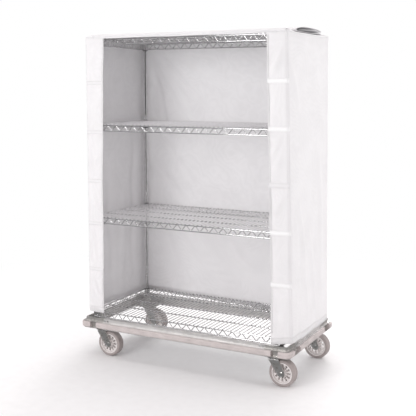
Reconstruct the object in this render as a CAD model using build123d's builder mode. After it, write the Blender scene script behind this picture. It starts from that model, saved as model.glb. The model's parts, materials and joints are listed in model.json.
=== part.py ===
"""Covered wire-shelf linen truck.

Four wire shelves clip to four grooved posts with split sleeves. The posts stand in the corner castings of an
aluminium dolly that runs on four swivel casters, and a fabric cover with an open front hangs round the shelves.
The origin is on the floor at the middle of the truck: +X is right seen from the front, -Y is the front, +Z is up.
All sizes are in millimetres.
"""

import os
from math import asin, cos, sin

from build123d import *

# Shelves
SHELF_WIDTH = 1219.0
SHELF_DEPTH = 610.0
MAT_WIRE_R = 2.3
MAT_PITCH = 25.4
MAT_WIRES_EACH_SIDE = 22
RIB_R = 3.2
RIB_SPACING = 150.0
WELD_DEPTH = 0.4
EDGE_WIRE_R = 3.2
ZIGZAG_R = 2.2
TRUSS_RISE = 31.0
ZIGZAG_BEND_R = 5.0
LONG_TRUSS_STROKES = 40
SHORT_TRUSS_STROKES = 18

# Posts: hollow tubes with a locating groove every inch
POST_INSET = 24.0
POST_R = 12.7
POST_BORE_R = 11.4
POST_TOP = 1859.5
GROOVE_PITCH = 25.4
GROOVE_WIDTH = 2.4
GROOVE_DEPTH = 0.6

# Shelf heights, counted in post grooves above the bottom shelf
BOTTOM_MAT_TOP = 273.5
SHELF_GROOVES = {"bottom": 0, "lower": 22, "upper": 43, "top": 62}

# Collars and split sleeves, both tapered so that the load wedges them tight
COLLAR_R = 17.5
COLLAR_HEIGHT = 42.0
COLLAR_BORE_TOP_R = 14.5
COLLAR_BORE_BOTTOM_R = 16.0
SLEEVE_GAP = 1.0
SLEEVE_CLEARANCE = 0.05
SLEEVE_OVERHANG = 5.0

# Fabric cover
FABRIC = 1.6
COVER_GAP = 8.0
HEM_Z = 249.5
COVER_TOP_Z = 1863.5
HEADER_Z = 1843.0
OPENING_LEFT = -498.0
OPENING_RIGHT = 504.0
DOOR_LEFT = -560.0
DOOR_RIGHT = 600.0
DOOR_FRONT_FOLD_Y = -170.0
DOOR_REAR_FOLD_Y = 200.0
DOOR_LAYER_PITCH = 6.0
TAPE_THICKNESS = 1.2
TAPE_HEIGHT = 25.0
LEFT_TAPE_Z = (517.0, 781.0, 1028.0, 1298.0, 1573.0)
RIGHT_TAPE_Z = (551.0, 823.5, 1072.0, 1351.5, 1591.0)

# Dolly frame and bumper
BUMPER_WIDTH = 1328.0
BUMPER_DEPTH = 684.0
BUMPER_THICKNESS = 24.0
BUMPER_CORNER_R = 36.0
BUMPER_BOTTOM = 174.5
BUMPER_HEIGHT = 33.0
BUMPER_EDGE_R = 9.0
CORNER_BUMPER_REACH = 70.0
SIDE_BUMPER_GAP = 42.0
END_BUMPER_GAP = 80.0
FRAME_TOP = 230.5
LIP_THICKNESS = 4.0
LIP_REACH = 14.0
RAIL_WEB = 4.0
RAIL_FLANGE = 24.0
CASTING_LENGTH = 128.0
CASTING_WIDTH = 110.0
CASTING_RIBS_X = (578.0, 600.0)
BEAD_MIDDLE_X = 541.0
BEAD_LENGTH = 46.0
CASTING_WALL = 8.0
CASTING_BASE = 5.5
TONGUE_LENGTH = 40.0
TONGUE_GAP = 0.2
SOCKET_R = 20.0
SOCKET_TOP = 221.5
SOCKET_FLOOR = 186.0
SOCKET_CLEARANCE = 0.25
PAD_R = 9.0
PAD_TOP = 185.0

# Fasteners
RAIL_BOLT_R = 3.0
RAIL_BOLT_Z = 218.0
RAIL_BOLT_SPACING = 20.0
PLATE_BOLT_R = 4.0
SET_SCREW_R = 3.0
SET_SCREW_Z = 206.0
SCREW_CLEARANCE = 0.05

# Casters
WHEEL_R = 74.0
TYRE_WIDTH = 48.0
TYRE_BORE_R = 58.0
TREAD_CORNER_R = 9.0
HUB_R = 18.0
HUB_WIDTH = 52.0
SPOKES = 12
TRAIL = 46.0
PIVOT_X = 548.0
PIVOT_Y = 259.0
PLATE_THICKNESS = 4.0
PLATE_LENGTH_Y = 92.0
PLATE_WIDTH_X = 66.0
PLATE_BOLTS_X = 24.0
PLATE_BOLTS_Y = 37.0
RACE_R = 27.0
RACE_BOTTOM = 158.0
CROWN_BOTTOM = 148.0
FORK_SHEET = 4.0
LEG_END_R = 20.0
LEG_TOP_WIDTH = 54.0
LEG_GAP = 28.0
LEG_RIM_WIDTH = 4.5
LEG_RIM_HEIGHT = 1.6
AXLE_R = 5.0
KING_PIN_R = 6.0
RUNNING_CLEARANCE = 0.06

# Places that follow from the sizes above
EDGE_X = SHELF_WIDTH / 2 - EDGE_WIRE_R
EDGE_Y = SHELF_DEPTH / 2 - EDGE_WIRE_R
POST_X = SHELF_WIDTH / 2 - POST_INSET
POST_Y = SHELF_DEPTH / 2 - POST_INSET
FRAME_WIDTH = BUMPER_WIDTH - 2 * BUMPER_THICKNESS
FRAME_DEPTH = BUMPER_DEPTH - 2 * BUMPER_THICKNESS
FRAME_CORNER_R = BUMPER_CORNER_R - BUMPER_THICKNESS
FRAME_BOTTOM = BUMPER_BOTTOM - LIP_THICKNESS
BUMPER_TOP = BUMPER_BOTTOM + BUMPER_HEIGHT
CASTING_BOTTOM = FRAME_BOTTOM - CASTING_BASE
PLATE_BOTTOM = CASTING_BOTTOM - PLATE_THICKNESS
COVER_X = SHELF_WIDTH / 2 + COVER_GAP
COVER_Y = SHELF_DEPTH / 2 + COVER_GAP
MAT_TOPS = {name: BOTTOM_MAT_TOP + count * GROOVE_PITCH for name, count in SHELF_GROOVES.items()}
CORNERS = {
    "front_left": (-1, -1),
    "front_right": (1, -1),
    "rear_left": (-1, 1),
    "rear_right": (1, 1),
}
UP = Vector(0, 0, 1)


def save(part, name):
    """Label a finished piece and write it as one STEP file."""
    part.label = name
    export_step(part, f"parts/{name}.step")


def upright_plane(x, y):
    """A plane through a vertical line, with its own x outward along +X and its y up."""
    return Plane(origin=(x, y, 0), x_dir=(1, 0, 0), z_dir=(0, -1, 0))


def upright_axis(x, y):
    return Axis((x, y, 0), (0, 0, 1))


# --- Shelves ---------------------------------------------------------------------------------------------------


def shelf_mat(mat_top):
    """Front-to-back wires on three lengthwise ribs. The end wires stop short of the corner collars."""
    wire_z = mat_top - MAT_WIRE_R
    rib_z = mat_top - 2 * MAT_WIRE_R - RIB_R + WELD_DEPTH
    full = SHELF_DEPTH - 2
    short = 2 * (POST_Y - COLLAR_R - 3)
    end_x = (MAT_WIRES_EACH_SIDE + 1) * MAT_PITCH
    rib_length = 2 * (EDGE_X - EDGE_WIRE_R - 2 * ZIGZAG_R - 0.3)
    with BuildPart() as mat:
        with BuildSketch(Plane.XZ.offset(full / 2)):
            with Locations((0, wire_z)):
                with GridLocations(MAT_PITCH, 1, 2 * MAT_WIRES_EACH_SIDE + 1, 1):
                    Circle(MAT_WIRE_R)
        extrude(amount=-full)
        with BuildSketch(Plane.XZ.offset(short / 2)):
            with Locations((-end_x, wire_z), (end_x, wire_z)):
                Circle(MAT_WIRE_R)
        extrude(amount=-short)
        with BuildSketch(Plane.YZ.offset(-rib_length / 2)):
            with Locations((-RIB_SPACING, rib_z), (0, rib_z), (RIB_SPACING, rib_z)):
                Circle(RIB_R)
        extrude(amount=rib_length)
    return mat.part


def straight_wire(along_x, at, z, reach):
    """An edge wire along X at y = at, or along Y at x = at."""
    start = Plane.YZ.offset(-reach) if along_x else Plane.XZ.offset(reach)
    with BuildPart() as wire:
        with BuildSketch(start):
            with Locations((at, z)):
                Circle(EDGE_WIRE_R)
        extrude(amount=2 * reach if along_x else -2 * reach)
    return wire.part


def zigzag_wire(along_x, at, low_z, high_z, reach, strokes):
    """A bent wire that runs up and down in an upright plane, welded to the inside of the two edge wires."""
    upright = Plane.XZ.offset(-at) if along_x else Plane.YZ.offset(at)
    stroke = 2 * reach / strokes
    turns = [(-reach + i * stroke, high_z if i % 2 else low_z) for i in range(strokes + 1)]
    with BuildPart() as wire:
        with BuildLine(upright) as route:
            FilletPolyline(*turns, radius=ZIGZAG_BEND_R)
        with BuildSketch(Plane(origin=route.line @ 0, z_dir=route.line % 0)):
            Circle(ZIGZAG_R)
        sweep(path=route.line)
    return wire.part


def shelf_trusses(mat_top):
    """The four edge trusses of one shelf: on each side a top wire, a bottom wire and a zigzag wire between them."""
    top_z = mat_top - 2 * MAT_WIRE_R - EDGE_WIRE_R
    bottom_z = top_z - TRUSS_RISE
    inward = EDGE_WIRE_R + ZIGZAG_R
    rise = EDGE_WIRE_R - ZIGZAG_R - WELD_DEPTH
    wires = []
    for along_x, edge, corner, strokes in (
        (True, EDGE_Y, POST_X, LONG_TRUSS_STROKES),
        (False, EDGE_X, POST_Y, SHORT_TRUSS_STROKES),
    ):
        reach = corner - COLLAR_R - 3
        for side in (-1, 1):
            wires.append(straight_wire(along_x, side * edge, top_z, corner + 5))
            wires.append(straight_wire(along_x, side * edge, bottom_z, corner + 5))
            zigzag_at = side * (edge - inward)
            wires.append(zigzag_wire(along_x, zigzag_at, bottom_z - rise, top_z + rise, reach, strokes))
    return Compound(children=wires)


def shelf_collars(mat_top):
    """Four collars with a bore that widens downward."""
    top = mat_top - 2
    bottom = top - COLLAR_HEIGHT
    with BuildPart() as collars:
        with BuildSketch(upright_plane(POST_X, POST_Y)):
            with BuildLine():
                Polyline(
                    (COLLAR_BORE_TOP_R, top),
                    (COLLAR_R, top),
                    (COLLAR_R, bottom),
                    (COLLAR_BORE_BOTTOM_R, bottom),
                    close=True,
                )
            make_face()
        revolve(axis=upright_axis(POST_X, POST_Y))
        mirror(about=Plane.YZ)
        mirror(about=Plane.XZ)
    return collars.part


def sleeve_pair(mat_top):
    """Two halves of a tapered sleeve at one post, with an inner ridge that sits in a post groove."""
    taper = (COLLAR_BORE_BOTTOM_R - COLLAR_BORE_TOP_R) / COLLAR_HEIGHT
    collar_top = mat_top - 2
    top = mat_top
    bottom = collar_top - COLLAR_HEIGHT - SLEEVE_OVERHANG
    top_r = COLLAR_BORE_TOP_R - taper * (top - collar_top) - SLEEVE_CLEARANCE
    bottom_r = COLLAR_BORE_BOTTOM_R + taper * SLEEVE_OVERHANG - SLEEVE_CLEARANCE
    inner = POST_R + SLEEVE_CLEARANCE
    ridge = mat_top - GROOVE_PITCH
    ridge_base = GROOVE_WIDTH / 2 - 0.15
    ridge_tip = ridge_base - 0.4
    tip_r = inner - GROOVE_DEPTH + 0.02
    with BuildPart() as pair:
        with BuildSketch(upright_plane(POST_X, POST_Y)):
            with BuildLine():
                Polyline(
                    (inner, top),
                    (top_r, top),
                    (bottom_r, bottom),
                    (inner, bottom),
                    (inner, ridge - ridge_base),
                    (tip_r, ridge - ridge_tip),
                    (tip_r, ridge + ridge_tip),
                    (inner, ridge + ridge_base),
                    close=True,
                )
            make_face()
        revolve(axis=upright_axis(POST_X, POST_Y))
        with Locations((POST_X, POST_Y, (top + bottom) / 2)):
            Box(4 * COLLAR_R, SLEEVE_GAP, top - bottom + 2, mode=Mode.SUBTRACT)
    return pair.part


def split_sleeves():
    """Sleeve halves for the four collars of every shelf."""
    pairs = [sleeve_pair(top) for top in MAT_TOPS.values()]
    with BuildPart() as sleeves:
        add(pairs)
        mirror(about=Plane.YZ)
        mirror(about=Plane.XZ)
    return sleeves.part


def post(x, y):
    """A grooved tube. The grooves are an inch apart, in step with the shelf heights."""
    first = BOTTOM_MAT_TOP - GROOVE_PITCH * int((BOTTOM_MAT_TOP - SOCKET_TOP) / GROOVE_PITCH)
    outline = [(POST_BORE_R, SOCKET_FLOOR), (POST_R, SOCKET_FLOOR)]
    groove = first
    while groove < POST_TOP - GROOVE_WIDTH:
        outline += [
            (POST_R, groove - GROOVE_WIDTH / 2),
            (POST_R - GROOVE_DEPTH, groove - GROOVE_WIDTH / 2 + 0.4),
            (POST_R - GROOVE_DEPTH, groove + GROOVE_WIDTH / 2 - 0.4),
            (POST_R, groove + GROOVE_WIDTH / 2),
        ]
        groove += GROOVE_PITCH
    outline += [(POST_R, POST_TOP), (POST_BORE_R, POST_TOP)]
    with BuildPart() as tube:
        with BuildSketch(upright_plane(x, y)):
            with BuildLine():
                Polyline(*outline, close=True)
            make_face()
        revolve(axis=upright_axis(x, y))
    return tube.part


def post_caps():
    """Domed plugs in the tops of the posts."""
    rim, dome = POST_TOP + 1.2, 2.4
    sphere_r = (POST_R**2 + dome**2) / (2 * dome)
    half_angle = asin(POST_R / sphere_r) / 2
    middle = (sphere_r * sin(half_angle), rim + dome - sphere_r * (1 - cos(half_angle)))
    with BuildPart() as caps:
        with BuildSketch(upright_plane(POST_X, POST_Y)):
            with BuildLine():
                Polyline(
                    (0, rim + dome),
                    (0, POST_TOP - 10),
                    (POST_BORE_R - 0.1, POST_TOP - 10),
                    (POST_BORE_R - 0.1, POST_TOP),
                    (POST_R, POST_TOP),
                    (POST_R, rim),
                )
                ThreePointArc((POST_R, rim), middle, (0, rim + dome))
            make_face()
        revolve(axis=upright_axis(POST_X, POST_Y))
        mirror(about=Plane.YZ)
        mirror(about=Plane.XZ)
    return caps.part


# --- Fabric cover ----------------------------------------------------------------------------------------------


def panel(low, high):
    """A flat piece of fabric between two corners."""
    low, high = Vector(*low), Vector(*high)
    size, middle = high - low, (low + high) / 2
    with BuildPart() as flat:
        with Locations(middle):
            Box(size.X, size.Y, size.Z)
    return flat.part


def cover_panels():
    """Top, back, sides, front strips and header, meeting face to face."""
    x, y, top = COVER_X, COVER_Y, COVER_TOP_Z
    inner_x, inner_y = x - FABRIC, y - FABRIC
    return {
        "cover_top_panel": panel((-x, -y, top), (x, y, top + FABRIC)),
        "cover_back_panel": panel((-x, inner_y, HEM_Z), (x, y, top)),
        "cover_left_side": panel((-x, -inner_y, HEM_Z), (-inner_x, inner_y, top)),
        "cover_right_side": panel((inner_x, -inner_y, HEM_Z), (x, inner_y, top)),
        "cover_front_left_strip": panel((-x, -y, HEM_Z), (OPENING_LEFT, -inner_y, top)),
        "cover_front_right_strip": panel((OPENING_RIGHT, -y, HEM_Z), (x, -inner_y, top)),
        "cover_front_header": panel((OPENING_LEFT, -y, HEADER_Z), (OPENING_RIGHT, -inner_y, top)),
    }


def folded_door():
    """The door panel, thrown back over the top and folded into four layers."""
    low = COVER_TOP_Z + FABRIC + FABRIC / 2
    levels = [low + i * DOOR_LAYER_PITCH for i in range(4)]
    front, rear = DOOR_FRONT_FOLD_Y, DOOR_REAR_FOLD_Y
    bulge = DOOR_LAYER_PITCH / 2
    with BuildPart() as door:
        with BuildSketch(Plane.YZ.offset(DOOR_LEFT)):
            with BuildLine():
                Line((-COVER_Y + 2, levels[0]), (rear, levels[0]))
                ThreePointArc((rear, levels[0]), (rear + bulge, levels[0] + bulge), (rear, levels[1]))
                Line((rear, levels[1]), (front, levels[1]))
                ThreePointArc((front, levels[1]), (front - bulge, levels[1] + bulge), (front, levels[2]))
                Line((front, levels[2]), (rear, levels[2]))
                ThreePointArc((rear, levels[2]), (rear + bulge, levels[2] + bulge), (rear, levels[3]))
                Line((rear, levels[3]), (front, levels[3]))
                offset(amount=FABRIC / 2, kind=Kind.ARC, side=Side.BOTH)
            make_face()
        extrude(amount=DOOR_RIGHT - DOOR_LEFT)
    return door.part


def closure_tapes():
    """Hook-and-loop tapes sewn across the front strips, where the door closes."""
    left = (-COVER_X + OPENING_LEFT) / 2
    right = (COVER_X + OPENING_RIGHT) / 2
    places = [(left, z) for z in LEFT_TAPE_Z] + [(right, z) for z in RIGHT_TAPE_Z]
    width = COVER_X - OPENING_RIGHT - 8
    with BuildPart() as tapes:
        with BuildSketch(Plane.XZ.offset(COVER_Y)):
            with Locations(*places):
                Rectangle(width, TAPE_HEIGHT)
        extrude(amount=TAPE_THICKNESS)
    return tapes.part


# --- Dolly -----------------------------------------------------------------------------------------------------


def rail(outward, reach, length):
    """An extruded channel with two lips that hold the bumper. Its web stands at reach from the middle."""
    outward = Vector(*outward)
    along = outward.cross(UP)
    start = Plane(origin=outward * reach - along * (length / 2), x_dir=outward, z_dir=along)
    lip_top = BUMPER_TOP + LIP_THICKNESS
    with BuildPart() as channel:
        with BuildSketch(start):
            with BuildLine():
                Polyline(
                    (-RAIL_FLANGE, FRAME_BOTTOM),
                    (LIP_REACH, FRAME_BOTTOM),
                    (LIP_REACH, BUMPER_BOTTOM),
                    (0, BUMPER_BOTTOM),
                    (0, BUMPER_TOP),
                    (LIP_REACH, BUMPER_TOP),
                    (LIP_REACH, lip_top),
                    (0, lip_top),
                    (0, FRAME_TOP),
                    (-RAIL_FLANGE, FRAME_TOP),
                    (-RAIL_FLANGE, FRAME_TOP - RAIL_WEB),
                    (-RAIL_WEB, FRAME_TOP - RAIL_WEB),
                    (-RAIL_WEB, FRAME_BOTTOM + RAIL_WEB),
                    (-RAIL_FLANGE, FRAME_BOTTOM + RAIL_WEB),
                    close=True,
                )
            make_face()
        extrude(amount=length)
        bolts = Plane(origin=outward * reach, x_dir=along, z_dir=outward)
        end = length / 2 - TONGUE_LENGTH / 2
        half = RAIL_BOLT_SPACING / 2
        spots = [(side * end + step, RAIL_BOLT_Z) for side in (-1, 1) for step in (-half, half)]
        with BuildSketch(bolts):
            with Locations(*[(x * bolts.x_dir.dot(along), z * bolts.y_dir.Z) for x, z in spots]):
                Circle(RAIL_BOLT_R + SCREW_CLEARANCE)
        extrude(amount=-RAIL_WEB - 1, mode=Mode.SUBTRACT)
    return channel.part


def corner_castings():
    """Four corner brackets: a caster seat, a rounded wall, a post socket, ribs and two tongues for the rails."""
    half_x, half_y = FRAME_WIDTH / 2, FRAME_DEPTH / 2
    seat = (half_x - CASTING_LENGTH / 2, half_y - CASTING_WIDTH / 2)
    grown = (CASTING_LENGTH + 2 * LIP_REACH, CASTING_WIDTH + 2 * LIP_REACH)
    rib = 5.0
    lip_top = BUMPER_TOP + LIP_THICKNESS
    tongue_middle = CASTING_WALL / 2 + (RAIL_WEB + TONGUE_GAP) / 2
    tongue_sheet = CASTING_WALL - RAIL_WEB - TONGUE_GAP
    tongue_low = FRAME_BOTTOM + RAIL_WEB + 4
    tongue_rise = FRAME_TOP - RAIL_WEB - 2 - tongue_low
    tongue_reach = TONGUE_LENGTH + 20
    pads = [
        (PIVOT_X + i * PLATE_BOLTS_X, PIVOT_Y + j * PLATE_BOLTS_Y) for i in (-1, 1) for j in (-1, 1)
    ]
    with BuildPart() as castings:
        with BuildSketch(Plane.XY.offset(CASTING_BOTTOM)):
            RectangleRounded(FRAME_WIDTH, FRAME_DEPTH, FRAME_CORNER_R)
            with Locations(seat):
                Rectangle(CASTING_LENGTH, CASTING_WIDTH, mode=Mode.INTERSECT)
        extrude(amount=CASTING_BASE)
        with BuildSketch(Plane.XY.offset(FRAME_BOTTOM)):
            RectangleRounded(FRAME_WIDTH, FRAME_DEPTH, FRAME_CORNER_R)
            RectangleRounded(
                FRAME_WIDTH - 2 * CASTING_WALL,
                FRAME_DEPTH - 2 * CASTING_WALL,
                FRAME_CORNER_R - CASTING_WALL,
                mode=Mode.SUBTRACT,
            )
            with Locations(seat):
                Rectangle(CASTING_LENGTH, CASTING_WIDTH, mode=Mode.INTERSECT)
        extrude(amount=FRAME_TOP - FRAME_BOTTOM)
        for lip_z in (FRAME_BOTTOM, BUMPER_TOP):
            with BuildSketch(Plane.XY.offset(lip_z)):
                RectangleRounded(
                    FRAME_WIDTH + 2 * LIP_REACH, FRAME_DEPTH + 2 * LIP_REACH, FRAME_CORNER_R + LIP_REACH
                )
                RectangleRounded(
                    FRAME_WIDTH - 2, FRAME_DEPTH - 2, FRAME_CORNER_R - 1, mode=Mode.SUBTRACT
                )
                with Locations((half_x - CASTING_LENGTH + grown[0] / 2, half_y - CASTING_WIDTH + grown[1] / 2)):
                    Rectangle(*grown, mode=Mode.INTERSECT)
            extrude(amount=LIP_THICKNESS)
        with BuildSketch(Plane.XY.offset(FRAME_BOTTOM)):
            with Locations((POST_X, POST_Y)):
                Circle(SOCKET_R)
        extrude(amount=SOCKET_TOP - FRAME_BOTTOM)
        with BuildSketch(Plane.XY.offset(FRAME_BOTTOM)):
            with Locations(((POST_X + half_x - CASTING_WALL / 2) / 2, POST_Y)):
                Rectangle(half_x - CASTING_WALL / 2 - POST_X, rib)
            with Locations(((POST_X + half_x - CASTING_LENGTH) / 2, POST_Y)):
                Rectangle(POST_X - half_x + CASTING_LENGTH, rib)
            with Locations((POST_X, (POST_Y + half_y - CASTING_WIDTH) / 2)):
                Rectangle(rib, POST_Y - half_y + CASTING_WIDTH)
        extrude(amount=22)
        with BuildSketch(Plane.XY.offset(FRAME_BOTTOM)):
            with Locations(*pads):
                Circle(PAD_R)
        extrude(amount=PAD_TOP - FRAME_BOTTOM)
        with BuildSketch(Plane.XZ.offset(-half_y - 2.5)):
            with Locations(*[(x, (lip_top + FRAME_TOP) / 2) for x in CASTING_RIBS_X]):
                Rectangle(4, FRAME_TOP - lip_top)
            with Locations((BEAD_MIDDLE_X, (lip_top + FRAME_TOP) / 2 + 2)):
                SlotOverall(BEAD_LENGTH, 12)
        extrude(amount=5)
        with BuildSketch(Plane.XY.offset(tongue_low)):
            with Locations((half_x - CASTING_LENGTH - TONGUE_LENGTH + tongue_reach / 2, half_y - tongue_middle)):
                Rectangle(tongue_reach, tongue_sheet)
            with Locations((half_x - tongue_middle, half_y - CASTING_WIDTH - TONGUE_LENGTH + tongue_reach / 2)):
                Rectangle(tongue_sheet, tongue_reach)
        extrude(amount=tongue_rise)
        with BuildSketch(Plane.XY.offset(SOCKET_FLOOR)):
            with Locations((POST_X, POST_Y)):
                Circle(POST_R + SOCKET_CLEARANCE)
        extrude(amount=FRAME_TOP - SOCKET_FLOOR, mode=Mode.SUBTRACT)
        with BuildSketch(Plane.XY.offset(CASTING_BOTTOM)):
            with Locations(*pads):
                Circle(PLATE_BOLT_R + SCREW_CLEARANCE)
        extrude(amount=16, mode=Mode.SUBTRACT)
        with BuildSketch(Plane.XZ.offset(-half_y)):
            with Locations(*rail_bolt_spots(half_x - CASTING_LENGTH)):
                Circle(RAIL_BOLT_R + SCREW_CLEARANCE)
        extrude(amount=CASTING_WALL + 1, mode=Mode.SUBTRACT)
        with BuildSketch(Plane.YZ.offset(half_x)):
            with Locations(*rail_bolt_spots(half_y - CASTING_WIDTH)):
                Circle(RAIL_BOLT_R + SCREW_CLEARANCE)
        extrude(amount=-CASTING_WALL - 1, mode=Mode.SUBTRACT)
        with BuildSketch(Plane.YZ.offset(POST_X - SOCKET_R - 1)):
            with Locations((POST_Y, SET_SCREW_Z)):
                Circle(SET_SCREW_R + SCREW_CLEARANCE)
        extrude(amount=SOCKET_R, mode=Mode.SUBTRACT)
        mirror(about=Plane.YZ)
        mirror(about=Plane.XZ)
    return castings.part


def rail_bolt_spots(joint):
    """The two bolts through a rail end that starts at joint and runs toward the middle of the truck."""
    middle = joint - TONGUE_LENGTH / 2
    half = RAIL_BOLT_SPACING / 2
    return [(middle - half, RAIL_BOLT_Z), (middle + half, RAIL_BOLT_Z)]


def rail_bolts():
    """Pan-head bolts through the rail webs into the casting tongues."""
    half_x, half_y = FRAME_WIDTH / 2, FRAME_DEPTH / 2
    head_r, head = 5.5, 3.0
    with BuildPart() as bolts:
        with BuildSketch(Plane.XZ.offset(-half_y)):
            with Locations(*rail_bolt_spots(half_x - CASTING_LENGTH)):
                Circle(head_r)
        extrude(amount=-head)
        with BuildSketch(Plane.XZ.offset(-half_y)):
            with Locations(*rail_bolt_spots(half_x - CASTING_LENGTH)):
                Circle(RAIL_BOLT_R)
        extrude(amount=14)
        with BuildSketch(Plane.YZ.offset(half_x)):
            with Locations(*rail_bolt_spots(half_y - CASTING_WIDTH)):
                Circle(head_r)
        extrude(amount=head)
        with BuildSketch(Plane.YZ.offset(half_x)):
            with Locations(*rail_bolt_spots(half_y - CASTING_WIDTH)):
                Circle(RAIL_BOLT_R)
        extrude(amount=-14)
        mirror(about=Plane.YZ)
        mirror(about=Plane.XZ)
    return bolts.part


def post_set_screws():
    """Grub screws through the socket walls against the posts."""
    with BuildPart() as screws:
        with BuildSketch(Plane.YZ.offset(POST_X - SOCKET_R - 2)):
            with Locations((POST_Y, SET_SCREW_Z)):
                Circle(SET_SCREW_R)
        extrude(amount=SOCKET_R + 2 - POST_R - 0.1)
        with BuildSketch(Plane.YZ.offset(POST_X - SOCKET_R - 2)):
            with Locations((POST_Y, SET_SCREW_Z)):
                RegularPolygon(1.7, 6)
        extrude(amount=3, mode=Mode.SUBTRACT)
        mirror(about=Plane.YZ)
        mirror(about=Plane.XZ)
    return screws.part


def bumper_piece(middle, size):
    """The stretch of the wrap-round bumper that lies in a box seen from above."""
    with BuildPart() as bumper:
        with BuildSketch(Plane.XY.offset(BUMPER_BOTTOM)):
            RectangleRounded(BUMPER_WIDTH, BUMPER_DEPTH, BUMPER_CORNER_R)
        extrude(amount=BUMPER_HEIGHT)
        rims = bumper.faces().sort_by(Axis.Z)
        fillet(rims[0].edges() + rims[-1].edges(), BUMPER_EDGE_R)
        with BuildSketch(Plane.XY.offset(BUMPER_BOTTOM)):
            RectangleRounded(FRAME_WIDTH, FRAME_DEPTH, FRAME_CORNER_R)
        extrude(amount=BUMPER_HEIGHT, mode=Mode.SUBTRACT)
        with BuildSketch(Plane.XY.offset(BUMPER_BOTTOM)):
            with Locations(middle):
                Rectangle(*size)
        extrude(amount=BUMPER_HEIGHT, mode=Mode.INTERSECT)
    return bumper.part


def bumpers():
    """Four straight strips and four corner pieces, with an open stretch between them."""
    half_x, half_y = BUMPER_WIDTH / 2, BUMPER_DEPTH / 2
    reach, wide = CORNER_BUMPER_REACH, 2 * BUMPER_THICKNESS
    long_run = BUMPER_WIDTH - 2 * reach - 2 * SIDE_BUMPER_GAP
    short_run = BUMPER_DEPTH - 2 * reach - 2 * END_BUMPER_GAP
    side = bumper_piece((0, half_y), (long_run, wide))
    end = bumper_piece((half_x, 0), (wide, short_run))
    corner = bumper_piece((half_x - reach / 2, half_y - reach / 2), (reach, reach))
    with BuildPart() as sides:
        add(side)
        mirror(about=Plane.XZ)
    with BuildPart() as ends:
        add(end)
        mirror(about=Plane.YZ)
    with BuildPart() as corners:
        add(corner)
        mirror(about=Plane.YZ)
        mirror(about=Plane.XZ)
    return {"bumper_side_strips": sides.part, "bumper_end_strips": ends.part, "bumper_corners": corners.part}


# --- Casters ---------------------------------------------------------------------------------------------------


def caster_plates():
    """Four top plates, each with the fixed half of its swivel race."""
    with BuildPart() as plates:
        with BuildSketch(Plane.XY.offset(PLATE_BOTTOM)):
            with Locations((PIVOT_X, PIVOT_Y)):
                RectangleRounded(PLATE_WIDTH_X, PLATE_LENGTH_Y, 8)
        extrude(amount=PLATE_THICKNESS)
        with BuildSketch(Plane.XY.offset(RACE_BOTTOM)):
            with Locations((PIVOT_X, PIVOT_Y)):
                Circle(RACE_R)
        extrude(amount=PLATE_BOTTOM - RACE_BOTTOM)
        chamfer(plates.faces().filter_by(Axis.Z).sort_by(Axis.Z)[0].edges(), 2)
        with BuildSketch(Plane.XY.offset(RACE_BOTTOM)):
            with Locations((PIVOT_X, PIVOT_Y)):
                Circle(KING_PIN_R + SCREW_CLEARANCE)
                with GridLocations(2 * PLATE_BOLTS_X, 2 * PLATE_BOLTS_Y, 2, 2):
                    Circle(PLATE_BOLT_R + SCREW_CLEARANCE)
        extrude(amount=CASTING_BOTTOM - RACE_BOTTOM, mode=Mode.SUBTRACT)
        mirror(about=Plane.YZ)
        mirror(about=Plane.XZ)
    return plates.part


def plate_bolts():
    """Hex-head cap screws from below, through the plates into the casting pads."""
    head = 5.5
    with BuildPart() as bolts:
        with BuildSketch(Plane.XY.offset(PLATE_BOTTOM - head)):
            with Locations((PIVOT_X, PIVOT_Y)):
                with GridLocations(2 * PLATE_BOLTS_X, 2 * PLATE_BOLTS_Y, 2, 2):
                    RegularPolygon(7.0, 6)
        extrude(amount=head)
        with BuildSketch(Plane.XY.offset(PLATE_BOTTOM)):
            with Locations((PIVOT_X, PIVOT_Y)):
                with GridLocations(2 * PLATE_BOLTS_X, 2 * PLATE_BOLTS_Y, 2, 2):
                    Circle(PLATE_BOLT_R)
        extrude(amount=CASTING_BOTTOM + 15 - PLATE_BOTTOM)
        mirror(about=Plane.YZ)
        mirror(about=Plane.XZ)
    return bolts.part


def king_pins():
    """Riveted pins that hold the forks up and let them swivel."""
    head_r, head = 11.0, 3.5
    head_top = CROWN_BOTTOM - 0.3
    with BuildPart() as pins:
        with BuildSketch(Plane.XY.offset(head_top - head)):
            with Locations((PIVOT_X, PIVOT_Y)):
                Circle(head_r)
        extrude(amount=head)
        chamfer(pins.edges().sort_by(Axis.Z)[0], 1.5)
        with BuildSketch(Plane.XY.offset(head_top)):
            with Locations((PIVOT_X, PIVOT_Y)):
                Circle(KING_PIN_R)
        extrude(amount=CASTING_BOTTOM - head_top)
        mirror(about=Plane.YZ)
        mirror(about=Plane.XZ)
    return pins.part


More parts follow.
